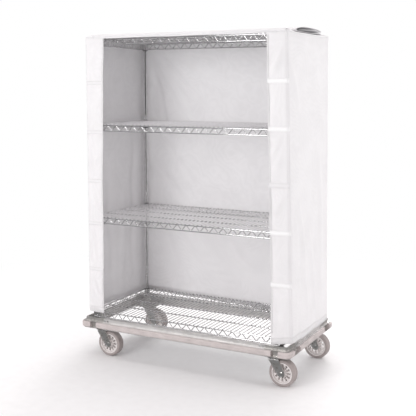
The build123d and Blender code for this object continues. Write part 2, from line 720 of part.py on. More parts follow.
def fork(x, y):
    """A pressed fork: a crown with the moving half of the race, and two rimmed legs that slant back to the axle."""
    width = 2 * (LEG_GAP + FORK_SHEET)
    crown_top = CROWN_BOTTOM + FORK_SHEET
    rim_top = CROWN_BOTTOM - 4
    with BuildPart() as yoke:
        with BuildSketch(Plane.XZ.offset(-y + width / 2)):
            with Locations((x + TRAIL, WHEEL_R)):
                Circle(LEG_END_R)
            with Locations((x, CROWN_BOTTOM + FORK_SHEET / 2)):
                Rectangle(LEG_TOP_WIDTH, FORK_SHEET)
            make_hull()
        extrude(amount=-width)
        top_sides = yoke.faces().sort_by(Axis.Z)[-1].edges().filter_by(Axis.X)
        fillet(top_sides, 3.5)
        with Locations((x + TRAIL / 2, y, CROWN_BOTTOM / 2)):
            Box(4 * WHEEL_R, 2 * LEG_GAP, CROWN_BOTTOM, mode=Mode.SUBTRACT)
        for face_y, outward in ((y - width / 2, 1), (y + width / 2, -1)):
            with BuildSketch(Plane.XZ.offset(-face_y)):
                with Locations((x + TRAIL, WHEEL_R)):
                    Circle(LEG_END_R)
                with Locations((x, rim_top)):
                    Rectangle(LEG_TOP_WIDTH, 1)
                make_hull()
                offset(amount=-LEG_RIM_WIDTH, mode=Mode.SUBTRACT)
            extrude(amount=outward * LEG_RIM_HEIGHT)
        with BuildSketch(Plane.XY.offset(crown_top)):
            with Locations((x, y)):
                Circle(24)
        extrude(amount=RACE_BOTTOM - 0.4 - crown_top)
        with BuildSketch(Plane.XY.offset(CROWN_BOTTOM - 1)):
            with Locations((x, y)):
                Circle(KING_PIN_R + RUNNING_CLEARANCE)
        extrude(amount=RACE_BOTTOM - CROWN_BOTTOM + 2, mode=Mode.SUBTRACT)
        with BuildSketch(Plane.XZ.offset(-y + width)):
            with Locations((x + TRAIL, WHEEL_R)):
                Circle(AXLE_R + SCREW_CLEARANCE)
        extrude(amount=-2 * width, mode=Mode.SUBTRACT)
    return yoke.part


def axle(x, y):
    """A hex-head bolt across the fork and its nut."""
    half = LEG_GAP + FORK_SHEET
    head, nut = 6.0, 7.5
    with BuildPart() as bolt:
        with BuildSketch(Plane.XZ.offset(-y + half)):
            with Locations((x + TRAIL, WHEEL_R)):
                RegularPolygon(9.0, 6)
        extrude(amount=head)
        with BuildSketch(Plane.XZ.offset(-y + half)):
            with Locations((x + TRAIL, WHEEL_R)):
                Circle(AXLE_R)
        extrude(amount=-2 * half - nut - 2)
    with BuildPart() as hex_nut:
        with BuildSketch(Plane.XZ.offset(-y - half)):
            with Locations((x + TRAIL, WHEEL_R)):
                RegularPolygon(9.0, 6)
                Circle(AXLE_R + SCREW_CLEARANCE, mode=Mode.SUBTRACT)
        extrude(amount=-nut)
    return Compound(children=[bolt.part, hex_nut.part])


def wheel_plane(x, y):
    """A plane through the axle: its x is a wheel radius and its y is along the axle."""
    return Plane(origin=(x + TRAIL, y, WHEEL_R), x_dir=(1, 0, 0), z_dir=(0, 0, 1))


def wheel_axis(x, y):
    return Axis((x + TRAIL, y, WHEEL_R), (0, 1, 0))


def wheel_core(x, y):
    """A moulded core: hub, spoked web with windows, and rim."""
    rim_half, rim_r, web_half = TYRE_WIDTH / 2 - 1, TYRE_BORE_R, 12.0
    window_r, window_length, window_width = 35.5, 23.0, 11.0
    with BuildPart() as core:
        with BuildSketch(wheel_plane(x, y)):
            with BuildLine():
                Polyline(
                    (10 + SCREW_CLEARANCE, -HUB_WIDTH / 2),
                    (HUB_R - 1, -HUB_WIDTH / 2),
                    (HUB_R, -HUB_WIDTH / 2 + 1),
                    (HUB_R + 2, -web_half),
                    (rim_r - 7, -web_half),
                    (rim_r - 5, -rim_half),
                    (rim_r, -rim_half),
                    (rim_r, rim_half),
                    (rim_r - 5, rim_half),
                    (rim_r - 7, web_half),
                    (HUB_R + 2, web_half),
                    (HUB_R, HUB_WIDTH / 2 - 1),
                    (HUB_R - 1, HUB_WIDTH / 2),
                    (10 + SCREW_CLEARANCE, HUB_WIDTH / 2),
                    close=True,
                )
            make_face()
        revolve(axis=wheel_axis(x, y))
        with BuildSketch(Plane(origin=(x + TRAIL, y - WHEEL_R, WHEEL_R), z_dir=(0, 1, 0))):
            with PolarLocations(window_r, SPOKES):
                RectangleRounded(window_length, window_width, 3)
        extrude(amount=2 * WHEEL_R, mode=Mode.SUBTRACT)
    return core.part


def wheel_bushing(x, y):
    """The bearing bush that turns on the axle bolt. It is a little longer than the hub."""
    half = HUB_WIDTH / 2 + 1
    with BuildPart() as bush:
        with BuildSketch(Plane.XZ.offset(-y + half)):
            with Locations((x + TRAIL, WHEEL_R)):
                Circle(10)
                Circle(AXLE_R + RUNNING_CLEARANCE, mode=Mode.SUBTRACT)
        extrude(amount=-2 * half)
    return bush.part


def tyre(x, y):
    """A solid tyre with rounded shoulders, bonded to the rim."""
    half, shoulder = TYRE_WIDTH / 2, WHEEL_R - TREAD_CORNER_R
    bend = TREAD_CORNER_R * 0.7071
    middle = (shoulder + bend, half - TREAD_CORNER_R + bend)
    with BuildPart() as ring:
        with BuildSketch(wheel_plane(x, y)):
            with BuildLine():
                Line((TYRE_BORE_R, -half), (shoulder, -half))
                ThreePointArc((shoulder, -half), (middle[0], -middle[1]), (WHEEL_R, -half + TREAD_CORNER_R))
                Line((WHEEL_R, -half + TREAD_CORNER_R), (WHEEL_R, half - TREAD_CORNER_R))
                ThreePointArc((WHEEL_R, half - TREAD_CORNER_R), middle, (shoulder, half))
                Polyline((shoulder, half), (TYRE_BORE_R, half), (TYRE_BORE_R, -half))
            make_face()
        revolve(axis=wheel_axis(x, y))
    return ring.part


# --- The whole truck -------------------------------------------------------------------------------------------

os.makedirs("parts", exist_ok=True)

for shelf, mat_top in MAT_TOPS.items():
    save(shelf_mat(mat_top), f"{shelf}_shelf_mat")
    save(shelf_trusses(mat_top), f"{shelf}_shelf_trusses")
    save(shelf_collars(mat_top), f"{shelf}_shelf_collars")
save(split_sleeves(), "split_sleeves")

for corner, (side_x, side_y) in CORNERS.items():
    save(post(side_x * POST_X, side_y * POST_Y), f"post_{corner}")
save(post_caps(), "post_caps")

for name, fabric in cover_panels().items():
    save(fabric, name)
save(folded_door(), "cover_door_panel")
save(closure_tapes(), "closure_tapes")

long_rail = FRAME_WIDTH - 2 * CASTING_LENGTH
short_rail = FRAME_DEPTH - 2 * CASTING_WIDTH
save(rail((0, -1, 0), FRAME_DEPTH / 2, long_rail), "dolly_rail_front")
save(rail((0, 1, 0), FRAME_DEPTH / 2, long_rail), "dolly_rail_rear")
save(rail((-1, 0, 0), FRAME_WIDTH / 2, short_rail), "dolly_rail_left")
save(rail((1, 0, 0), FRAME_WIDTH / 2, short_rail), "dolly_rail_right")
save(corner_castings(), "dolly_corner_castings")
save(rail_bolts(), "rail_bolts")
save(post_set_screws(), "post_set_screws")
for name, bumper in bumpers().items():
    save(bumper, name)

save(caster_plates(), "caster_top_plates")
save(plate_bolts(), "caster_plate_bolts")
save(king_pins(), "caster_king_pins")
for corner, (side_x, side_y) in CORNERS.items():
    pivot = (side_x * PIVOT_X, side_y * PIVOT_Y)
    save(fork(*pivot), f"caster_fork_{corner}")
    save(axle(*pivot), f"caster_axle_{corner}")
    save(wheel_core(*pivot), f"wheel_core_{corner}")
    save(wheel_bushing(*pivot), f"wheel_bushing_{corner}")
    save(tyre(*pivot), f"wheel_tyre_{corner}")
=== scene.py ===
import json
import math
import random

import bpy
import numpy as np
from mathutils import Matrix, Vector

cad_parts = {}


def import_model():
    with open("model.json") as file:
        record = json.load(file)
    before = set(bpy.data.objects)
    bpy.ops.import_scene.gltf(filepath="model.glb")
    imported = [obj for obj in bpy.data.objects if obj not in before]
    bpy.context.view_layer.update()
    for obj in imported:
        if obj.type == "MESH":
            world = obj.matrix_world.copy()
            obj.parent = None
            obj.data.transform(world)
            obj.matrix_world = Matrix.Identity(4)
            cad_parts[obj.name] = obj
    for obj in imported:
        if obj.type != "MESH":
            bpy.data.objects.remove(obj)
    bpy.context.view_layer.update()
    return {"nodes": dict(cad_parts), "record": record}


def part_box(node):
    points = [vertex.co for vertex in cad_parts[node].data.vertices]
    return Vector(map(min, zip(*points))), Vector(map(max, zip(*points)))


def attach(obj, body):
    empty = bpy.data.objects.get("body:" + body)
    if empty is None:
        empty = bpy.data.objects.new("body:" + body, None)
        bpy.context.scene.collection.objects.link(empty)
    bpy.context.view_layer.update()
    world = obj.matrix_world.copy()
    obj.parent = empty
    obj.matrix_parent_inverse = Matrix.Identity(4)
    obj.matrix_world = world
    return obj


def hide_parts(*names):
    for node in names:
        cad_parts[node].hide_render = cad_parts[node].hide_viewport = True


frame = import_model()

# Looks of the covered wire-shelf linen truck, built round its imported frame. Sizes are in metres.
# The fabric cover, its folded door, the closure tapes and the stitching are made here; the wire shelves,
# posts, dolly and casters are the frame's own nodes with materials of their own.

BODY = "truck"
WALL_NODES = (
    "cover_back_panel",
    "cover_left_side",
    "cover_right_side",
    "cover_front_left_strip",
    "cover_front_right_strip",
)

# Cover: outline and edges, from the frame's boxes, on the middle surface of the cloth
FABRIC = 0.0016
COVER_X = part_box("cover_right_side")[1].x - FABRIC / 2
COVER_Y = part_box("cover_back_panel")[1].y - FABRIC / 2
LEFT_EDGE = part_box("cover_front_left_strip")[1].x
RIGHT_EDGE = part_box("cover_front_right_strip")[0].x
HEM_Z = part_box("cover_back_panel")[0].z
SHELF_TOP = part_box("top_shelf_mat")[1].z
CAP_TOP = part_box("post_caps")[1].z
POST_X = (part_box("post_front_right")[0].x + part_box("post_front_right")[1].x) / 2
POST_Y = (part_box("post_rear_right")[0].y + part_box("post_rear_right")[1].y) / 2
CORNER_R = 0.018
EDGE_Z = SHELF_TOP + 0.0018

COLUMN_STEP = 0.0105

# The top sheet: its ripple, its lift along the front, where the door is sewn on, and the tents over the post caps
TOP_RIPPLE = 0.0004
FRONT_LIFT = 0.0065
FRONT_LIFT_REACH = 0.025
CAP_CLEARANCE = 0.0017
CAP_R = 0.013
TENT_REACH = 0.026

# Sewn parts of the cover
BAND_BEVEL = 0.0006
HEM_HEIGHT = 0.034
HEM_THICKNESS = 0.0009
EDGE_HEM_WIDTH = 0.012
EDGE_HEM_THICKNESS = 0.0007
SEAM_R = 0.0013
BINDING_R = 0.0026
HEADER_OVERLAP = 0.06
TAPE_THICKNESS = 0.0013
TAPE_HALF_LEFT = 0.0105
TAPE_HALF_RIGHT = 0.0125
TAPE_STITCH_INSET = 0.0028
LEFT_TAPE_Z = (0.523, 0.791, 1.038, 1.318, 1.597)
RIGHT_TAPE_Z = (0.555, 0.8285, 1.074, 1.3635, 1.606)
PLAIN_RIGHT_TAPE = 2
STITCH_PITCH = 0.0045
STITCH_LENGTH = 0.0032
THREAD_R = 0.00045

# How the cloth hangs
FOLD_RISE = 1.7
DEEPEST_HOLLOW = -0.0042
BROAD_HEIGHT = 0.0022
CRUMPLE_HEIGHT = 0.00035
FLARE = 0.004
FLARE_HEIGHT = 0.35
TAUT_SHARE = 0.85
TAUT_REACH = 0.035
SIDE_SWING = 0.0263
HEM_LEVELS = (0.014, 0.018, 0.004, -0.026, 0.004, -0.010)
STRIP_WANDER_Z = (0.25, 1.03, 1.30, 1.60, 1.85)
STRIP_WANDER_X = (-0.011, -0.008, -0.0025, 0.004, 0.011)

# Stage and camera
FLOOR_HALF = 40
FLOOR_NEAR = 1.1
FLOOR_FAR = 3.0
MIRRORED_FLOOR = 0.20
HORIZON = (0.02, 0.02, 0.021, 1)
SKY = (0.75, 0.75, 0.76, 1)
SKY_FROM = 0.6
AMBIENT = (0.71, 0.675, 0.675, 1)
CAMERA_AZIMUTH = 27.58
CAMERA_ELEVATION = 6.52
CAMERA_DISTANCE = 4.69
CAMERA_TARGET = (0.009, -0.001, 1.0415)
LENS = 70.36
LENS_SHIFT = -0.0673

rng = random.Random(7)


# --- Meshes ----------------------------------------------------------------------------------------------------


def add_object(name, verts, faces, material):
    """A smooth mesh object from lists of points and faces."""
    mesh = bpy.data.meshes.new(name)
    mesh.from_pydata([tuple(v) for v in verts], [], faces)
    mesh.validate()
    mesh.polygons.foreach_set("use_smooth", [True] * len(mesh.polygons))
    mesh.materials.append(material)
    mesh.update()
    obj = bpy.data.objects.new(name, mesh)
    bpy.context.scene.collection.objects.link(obj)
    return obj


def grid_faces(rows, columns, wrap=False, first=0):
    """Quads over a grid of points kept row by row; wrap joins the last column to the first."""
    faces = []
    for i in range(rows - 1):
        for j in range(columns if wrap else columns - 1):
            a, b = first + i * columns + j, first + i * columns + (j + 1) % columns
            faces.append((a, b, b + columns, a + columns))
    return faces


def cloth(name, points, material):
    """A sheet of fabric from a rows x columns x 3 array of points on its middle surface."""
    rows, columns = points.shape[:2]
    obj = add_object(name, points.reshape(-1, 3), grid_faces(rows, columns), material)
    solid = obj.modifiers.new("thickness", "SOLIDIFY")
    solid.thickness = FABRIC
    solid.offset = 0.0
    solid.use_even_offset = False
    return obj


def lofted(sections):
    """A closed solid through closed sections, an n x m x 3 array, with its two ends capped."""
    n, m = sections.shape[:2]
    faces = grid_faces(n, m, wrap=True)
    faces.append(tuple(range(m - 1, -1, -1)))
    faces.append(tuple((n - 1) * m + j for j in range(m)))
    return sections.reshape(-1, 3), faces


def joined(name, parts, material):
    """One object from several (points, faces) solids."""
    verts, faces = [], []
    for points, part_faces in parts:
        first = len(verts)
        verts.extend(points)
        faces.extend(tuple(first + i for i in face) for face in part_faces)
    return add_object(name, verts, faces, material)


def smoothstep(value, low, high):
    """0 below low, 1 above high and a smooth rise between them."""
    t = np.clip((value - low) / (high - low), 0, 1)
    return t * t * (3 - 2 * t)


# --- The cover's surface ---------------------------------------------------------------------------------------


def outline_table():
    """The cover's outline seen from above, from the left strip's free edge round the left, back and right to
    the right strip's free edge, and back along the header: lengths, places and outward directions."""
    points, normals = [], []

    def straight(start, end, normal):
        count = max(2, int((Vector(end) - Vector(start)).length / 0.002))
        for i in range(count):
            points.append(Vector(start).lerp(Vector(end), i / count))
            normals.append(Vector(normal))

    def corner(x_side, y_side, first):
        centre = Vector((x_side * (COVER_X - CORNER_R), y_side * (COVER_Y - CORNER_R)))
        for i in range(12):
            angle = first - math.radians(90) * i / 12
            normal = Vector((math.cos(angle), math.sin(angle)))
            points.append(centre + CORNER_R * normal)
            normals.append(normal)

    x, y, r = COVER_X, COVER_Y, CORNER_R
    straight((LEFT_EDGE, -y), (r - x, -y), (0, -1))
    corner(-1, -1, math.radians(270))
    straight((-x, r - y), (-x, y - r), (-1, 0))
    corner(-1, 1, math.radians(180))
    straight((r - x, y), (x - r, y), (0, 1))
    corner(1, 1, math.radians(90))
    straight((x, y - r), (x, r - y), (1, 0))
    corner(1, -1, 0)
    straight((x - r, -y), (RIGHT_EDGE, -y), (0, -1))
    straight((RIGHT_EDGE, -y), (LEFT_EDGE, -y), (0, -1))
    points.append(Vector((LEFT_EDGE, -y)))
    normals.append(Vector((0, -1)))
    steps = [0.0] + [(b - a).length for a, b in zip(points, points[1:])]
    return np.cumsum(steps), np.array(points), np.array(normals)


OUTLINE_S, OUTLINE_XY, OUTLINE_NORMAL = outline_table()
ARC = CORNER_R * math.pi / 2
FRONT_LEFT = LEFT_EDGE + COVER_X - CORNER_R + ARC / 2
REAR_LEFT = FRONT_LEFT + 2 * (COVER_Y - CORNER_R) + ARC
REAR_RIGHT = REAR_LEFT + 2 * (COVER_X - CORNER_R) + ARC
FRONT_RIGHT = REAR_RIGHT + 2 * (COVER_Y - CORNER_R) + ARC
WALL_END = FRONT_RIGHT + ARC / 2 + COVER_X - CORNER_R - RIGHT_EDGE
LOOP_END = WALL_END + RIGHT_EDGE - LEFT_EDGE
CORNERS = (FRONT_LEFT, REAR_LEFT, REAR_RIGHT, FRONT_RIGHT)
PANEL_START = {"left_strip": 0.0, "left": FRONT_LEFT, "back": REAR_LEFT, "right": REAR_RIGHT,
               "right_strip": FRONT_RIGHT}

# Folds of the cloth: panel, start and end as (distance along the panel, height), half width, and how far they stand
# out before FOLD_RISE
FOLDS = (
    # Back panel, pulled towards its top left corner
    ("back", (0.05, 1.83), (0.46, 1.44), 0.016, 0.0050),
    ("back", (0.07, 1.80), (0.38, 1.30), 0.020, -0.0040),
    ("back", (0.10, 1.84), (0.60, 1.58), 0.022, 0.0035),
    ("back", (0.05, 1.76), (0.20, 1.20), 0.018, 0.0045),
    ("back", (0.04, 1.36), (0.36, 0.98), 0.018, 0.0040),
    ("back", (0.28, 1.25), (0.18, 1.02), 0.016, -0.0035),
    ("back", (0.05, 1.14), (0.30, 0.84), 0.020, 0.0035),
    ("back", (0.38, 0.82), (0.84, 0.36), 0.050, 0.0110),
    ("back", (0.28, 0.70), (0.66, 0.30), 0.040, -0.0070),
    ("back", (0.06, 0.80), (0.26, 0.40), 0.035, 0.0050),
    ("back", (0.98, 0.78), (0.80, 0.30), 0.050, 0.0060),
    ("back", (1.16, 1.80), (0.92, 1.36), 0.026, 0.0040),
    ("back", (1.18, 1.30), (1.00, 0.90), 0.030, 0.0045),
    # Left side
    ("left", (0.20, 1.10), (0.26, 0.30), 0.035, 0.0060),
    ("left", (0.38, 0.95), (0.34, 0.28), 0.030, -0.0040),
    ("left", (0.50, 1.35), (0.47, 0.40), 0.030, 0.0050),
    ("left", (0.12, 1.75), (0.28, 1.40), 0.022, 0.0030),
    # Right side: long folds that hang towards the hem
    ("right", (0.50, 1.02), (0.36, 0.27), 0.022, 0.0075),
    ("right", (0.56, 0.92), (0.52, 0.27), 0.020, -0.0050),
    ("right", (0.36, 0.86), (0.22, 0.30), 0.020, 0.0070),
    ("right", (0.26, 0.74), (0.10, 0.32), 0.024, -0.0050),
    ("right", (0.16, 1.30), (0.12, 0.45), 0.030, 0.0045),
    ("right", (0.60, 1.72), (0.44, 1.40), 0.024, 0.0025),
    # Left strip
    ("left_strip", (0.03, 1.83), (0.09, 1.66), 0.009, 0.0045),
    ("left_strip", (0.02, 1.22), (0.07, 1.10), 0.009, 0.0040),
    ("left_strip", (0.10, 1.26), (0.05, 1.08), 0.008, -0.0030),
    ("left_strip", (0.03, 0.86), (0.08, 0.97), 0.012, 0.0070),
    ("left_strip", (0.02, 0.81), (0.06, 0.93), 0.009, -0.0040),
    ("left_strip", (0.09, 0.76), (0.05, 0.55), 0.010, 0.0040),
    ("left_strip", (0.02, 0.36), (0.09, 0.48), 0.009, 0.0045),
    ("left_strip", (0.04, 0.31), (0.10, 0.40), 0.008, 0.0035),
    # Right strip
    ("right_strip", (0.002, 1.79), (0.09, 1.63), 0.014, 0.0090),
    ("right_strip", (0.020, 1.81), (0.10, 1.68), 0.010, -0.0050),
    ("right_strip", (0.09, 1.55), (0.10, 1.42), 0.012, -0.0060),
    ("right_strip", (0.010, 1.28), (0.07, 1.14), 0.010, 0.0060),
    ("right_strip", (0.030, 1.34), (0.10, 1.20), 0.009, 0.0045),
    ("right_strip", (0.010, 1.03), (0.08, 0.92), 0.012, 0.0060),
    ("right_strip", (0.095, 1.04), (0.09, 0.88), 0.012, -0.0070),
    ("right_strip", (0.020, 0.76), (0.03, 0.62), 0.014, 0.0050),
    ("right_strip", (0.10, 0.78), (0.10, 0.62), 0.012, -0.0060),
    ("right_strip", (0.015, 0.50), (0.05, 0.32), 0.014, 0.0060),
    ("right_strip", (0.08, 0.52), (0.07, 0.34), 0.012, -0.0040),
)


def waves(name, count, shortest, longest):
    """Random long waves (wavenumber along, wavenumber up, phase, share), for the cloth's own unevenness."""
    source = random.Random(name)
    made = []
    for _ in range(count):
        length = source.uniform(shortest, longest)
        angle = source.uniform(0, math.pi)
        wave = 2 * math.pi / length
        made.append((wave * math.cos(angle), wave * math.sin(angle), source.uniform(0, 6.28), length / longest))
    return made


BROAD_WAVES = waves("broad", 9, 0.18, 0.60)
CRUMPLE_WAVES = waves("crumple", 16, 0.022, 0.09)


def unevenness(along, up, table, height):
    """The sum of a table's waves, scaled to a typical height."""
    total = sum(share * np.sin(a * along + b * up + phase) for a, b, phase, share in table)
    return height * total / math.sqrt(len(table))


def fold_height(s, z):
    """How far the folds push the cloth outward."""
    total = np.zeros_like(s)
    for panel, start, end, width, height in FOLDS:
        a = np.array((PANEL_START[panel] + start[0], start[1]))
        run = np.array((PANEL_START[panel] + end[0], end[1])) - a
        length = math.hypot(*run)
        along = ((s - a[0]) * run[0] + (z - a[1]) * run[1]) / length
        across = ((s - a[0]) * run[1] - (z - a[1]) * run[0]) / length
        across += 0.25 * width * np.sin(along * 17 + height * 900)
        t = along / length
        taper = smoothstep(t, -0.12, 0.30) * (1 - smoothstep(t, 0.62, 1.15))
        total += FOLD_RISE * height * taper * np.exp(-((across / width) ** 2))
    return total


def hem_level(s):
    """The hem hangs a little unevenly: higher at the front left, lower at the rear right."""
    wave = 0.0015 * np.sin(s * 23) + 0.001 * np.sin(s * 51 + 1)
    return HEM_Z + np.interp(s, (0, *CORNERS, WALL_END), HEM_LEVELS) + wave


def tent(distance):
    """The rise of the cloth over a post cap at some distance from the post's axis."""
    return (CAP_TOP + CAP_CLEARANCE - EDGE_Z) * np.exp(-np.maximum(distance - CAP_R, 0) / TENT_REACH)


def top_level(x, y):
    """Height of the cover's top sheet."""
    level = EDGE_Z + TOP_RIPPLE * np.sin(x * 31 + 2 * y) + TOP_RIPPLE
    level = level + FRONT_LIFT * np.exp(-(y + COVER_Y) / FRONT_LIFT_REACH)
    for x_side in (-1, 1):
        for y_side in (-1, 1):
            distance = np.hypot(x - x_side * POST_X, y - y_side * POST_Y)
            level = np.maximum(level, EDGE_Z + tent(distance))
    return level


def outline(s):
    """Places and outward directions on the outline as n x 2 arrays."""
    flat = np.ravel(s)
    xy = np.stack([np.interp(flat, OUTLINE_S, OUTLINE_XY[:, k]) for k in (0, 1)], -1)
    normal = np.stack([np.interp(flat, OUTLINE_S, OUTLINE_NORMAL[:, k]) for k in (0, 1)], -1)
    normal /= np.linalg.norm(normal, axis=1)[:, None]
    return xy, normal


def edge_level(s):
    """Height of the seam between the walls and the top sheet."""
    xy, _ = outline(s)
    return top_level(xy[:, 0], xy[:, 1]).reshape(np.shape(s))


def wall(s, z, lift=0.0):
    """Points on the hanging cloth, lift metres outside its middle surface. It is taut at the corners and along the
    top edge, stays clear of the shelves, and flares a little at the hem."""
    s, z = np.broadcast_arrays(np.asarray(s, float), np.asarray(z, float))
    xy, normal = outline(s)
    flat_s, flat_z = s.ravel(), z.ravel()
    corner = np.min([abs(flat_s - c) for c in CORNERS], axis=0)
    loose = 1 - TAUT_SHARE * np.exp(-((corner / TAUT_REACH) ** 2))
    hanging = 1 - smoothstep(flat_z, EDGE_Z - 0.12, EDGE_Z - 0.01)
    out = fold_height(flat_s, flat_z)
    out += unevenness(flat_s, flat_z, BROAD_WAVES, BROAD_HEIGHT) * loose
    out += unevenness(flat_s, flat_z, CRUMPLE_WAVES, CRUMPLE_HEIGHT)
    out = 0.0010 + np.maximum(out, DEEPEST_HOLLOW) * hanging * loose
    out += FLARE * (1 - smoothstep(flat_z, HEM_Z, HEM_Z + FLARE_HEIGHT)) + lift
    x = xy[:, 0] + normal[:, 0] * out
    y = xy[:, 1] + normal[:, 1] * out
    x += drift(xy[:, 0], xy[:, 1], flat_z)
    return np.stack([x, y, flat_z], -1).reshape(*s.shape, 3)


def drift(x, y, z):
    """Sideways drift of the cloth: the right end hangs out to the right, the left strip's free edge wanders."""
    right = smoothstep(x, 0, RIGHT_EDGE) * (1 - 0.6 * smoothstep(y, -COVER_Y, COVER_Y))
    swing = SIDE_SWING * np.maximum(EDGE_Z - z, 0) * right
    free = smoothstep(x, -COVER_X, LEFT_EDGE) * (1 - smoothstep(x, LEFT_EDGE, LEFT_EDGE + 0.01)) * (y < 0)
    return swing + np.interp(z, STRIP_WANDER_Z, STRIP_WANDER_X) * free


def wall_columns():
    """Places round the wall, closer together at the corners."""
    places = []
    for start, end in zip((0, *CORNERS), (*CORNERS, WALL_END)):
        low = start + (ARC / 2 if start > 0 else 0)
        high = end - (ARC / 2 if end < WALL_END else 0)
        places.extend(np.linspace(low, high, round((high - low) / COLUMN_STEP) + 1))
        if end < WALL_END:
            places.extend(np.linspace(high, high + ARC, 7)[1:-1])
    return np.array(places)


def cover_wall(material):
    """The continuous hanging sheet: left strip, left side, back, right side and right strip."""
    s = wall_columns()
    t = np.linspace(0, 1, 150)[:, None]
    z = hem_level(s) * (1 - t) + edge_level(s) * t
    return cloth("cover_wall", wall(s[None, :], z), material)


def cover_header(material):
    """The narrow band over the opening, sewn to the strips at both ends."""
    ends = (WALL_END - 0.004, LOOP_END + 0.004)
    s = np.linspace(*ends, 120)
    t = np.linspace(0, 1, 5)[:, None]
    low = SHELF_TOP - 0.003 + 0.0008 * np.sin(s * 19)
    z = low * (1 - t) + edge_level(np.clip(s, WALL_END, LOOP_END)) * t
    x = np.interp(s, ends, (RIGHT_EDGE + HEADER_OVERLAP, LEFT_EDGE - HEADER_OVERLAP))
    y = -COVER_Y - 0.0030 - 0.0012 * np.sin(s * 11) * (1 - t)
    return cloth("cover_header", np.stack([np.broadcast_to(x, z.shape), y, z], -1), material)


def cover_top(material):
    """The top sheet, lying on the top shelf and tented over the post caps."""
    x = np.linspace(-COVER_X, COVER_X, 150)
    y = np.linspace(-COVER_Y, COVER_Y, 84)
    grid_x, grid_y = np.meshgrid(x, y)
    over_x = np.maximum(abs(grid_x) - (COVER_X - CORNER_R), 0)
    over_y = np.maximum(abs(grid_y) - (COVER_Y - CORNER_R), 0)
    reach = np.hypot(over_x, over_y)
    scale = np.where(reach > CORNER_R, CORNER_R / np.maximum(reach, 1e-9), 1.0)
    round_x = np.sign(grid_x) * (abs(grid_x) - over_x + over_x * scale)
    round_y = np.sign(grid_y) * (abs(grid_y) - over_y + over_y * scale)
    return cloth("cover_top", np.stack([round_x, round_y, top_level(round_x, round_y)], -1), material)


def tube(points, radius, sides=8):
    """A round solid along an open path of points."""
    points = np.asarray(points)
    tangent = np.gradient(points, axis=0)
    tangent /= np.linalg.norm(tangent, axis=1)[:, None]
    side = np.cross(tangent, (0.3, 0.2, 1.0))
    side /= np.linalg.norm(side, axis=1)[:, None]
    up = np.cross(side, tangent)
    angles = np.arange(sides) * 2 * math.pi / sides
    ring = np.cos(angles)[None, :, None] * side[:, None, :] + np.sin(angles)[None, :, None] * up[:, None, :]
    return lofted(points[:, None, :] + radius * ring)


def cover_binding(material):
    """The bound seam round the top edge."""
    s = np.linspace(0, LOOP_END, 520)
    xy, normal = outline(s)
    points = np.column_stack([xy + normal * 0.0022, edge_level(s) + 0.0006])
    return joined("cover_top_binding", [tube(points, BINDING_R)], material)


def corner_seams(material):
    """The felled seams down the four corners."""
    parts = []
    for s in CORNERS:
        z = np.linspace(float(hem_level(s)) + 0.002, float(edge_level(np.array([s]))[0]) - 0.001, 120)
        parts.append(tube(wall(np.full_like(z, s), z, FABRIC / 2 + 0.0003), SEAM_R, 6))
    return joined("cover_corner_seams", parts, material)


def band(s, low, high, thickness):
    """A flat band sewn on the wall along s, between two heights that may vary along it."""
    s = np.asarray(s)
    low, high = np.broadcast_to(low, s.shape), np.broadcast_to(high, s.shape)
    section = ((0, 0, 0), (0, BAND_BEVEL, 1), (0.5, 0, 1), (1, -BAND_BEVEL, 1), (1, 0, 0))
    rings = [wall(s, low + t * (high - low) + dz, FABRIC / 2 + k * thickness) for t, dz, k in section]
    return lofted(np.stack(rings, 1))


def hem_band(material):
    """The turned-up hem round the bottom of the wall."""
    s = wall_columns()
    low = hem_level(s)
    return joined("cover_hem", [band(s, low - 0.0005, low + HEM_HEIGHT, HEM_THICKNESS)], material)


def free_edge_bands(material):
    """The hems down the two free edges of the opening."""
    parts = []
    for s0, s1 in ((0.0, EDGE_HEM_WIDTH), (WALL_END - EDGE_HEM_WIDTH, WALL_END)):
        z = np.linspace(HEM_Z + 0.05, EDGE_Z - 0.012, 150)
        lifts = ((s0, 0), (s0 + BAND_BEVEL, 1), (s1 - BAND_BEVEL, 1), (s1, 0))
        rings = [wall(np.full_like(z, s), z, FABRIC / 2 + k * EDGE_HEM_THICKNESS) for s, k in lifts]
        parts.append(lofted(np.stack(rings, 1)))
    return joined("cover_edge_hems", parts, material)


# --- Stitching -------------------------------------------------------------------------------------------------


def stitches(path, outward):
    """Separate thread stitches along a path of points, raised on its outward side. Each one is a point, two
    squares of four points and a point."""
    path, outward = np.asarray(path), np.asarray(outward)
    steps = np.linalg.norm(np.diff(path, axis=0), axis=1)
    run = np.concatenate([[0], np.cumsum(steps)])
    made = []
    for k in range(int((run[-1] - STITCH_LENGTH) / STITCH_PITCH)):
        start = k * STITCH_PITCH
        ends = [np.array([np.interp(start + d, run, path[:, c]) for c in range(3)]) for d in (0, STITCH_LENGTH)]
        middle = int(np.searchsorted(run, start + STITCH_LENGTH / 2)) - 1
        up = outward[min(max(middle, 0), len(outward) - 1)]
        along = ends[1] - ends[0]
        side = np.cross(along, up)
        side /= max(np.linalg.norm(side), 1e-9)
        verts = [ends[0] - up * THREAD_R * 0.4]
        for t in (0.22, 0.78):
            centre = ends[0] + along * t
            verts += [centre + d * THREAD_R for d in (side, up, -side, -up)]
        verts.append(ends[1] - up * THREAD_R * 0.4)
        faces = [(0, 1 + (j + 1) % 4, 1 + j) for j in range(4)]
        faces += [(1 + j, 1 + (j + 1) % 4, 5 + (j + 1) % 4, 5 + j) for j in range(4)]
        faces += [(9, 5 + j, 5 + (j + 1) % 4) for j in range(4)]
        made.append((verts, faces))
    return made


def wall_stitch_line(s, z, lift=FABRIC / 2):
    """Stitches on the wall along arrays of s and z."""
    s, z = np.broadcast_arrays(np.asarray(s, float), np.asarray(z, float))
    _, normal = outline(s)
    outward = np.column_stack([normal, np.zeros(len(normal))])
    return stitches(wall(s, z, lift), outward)


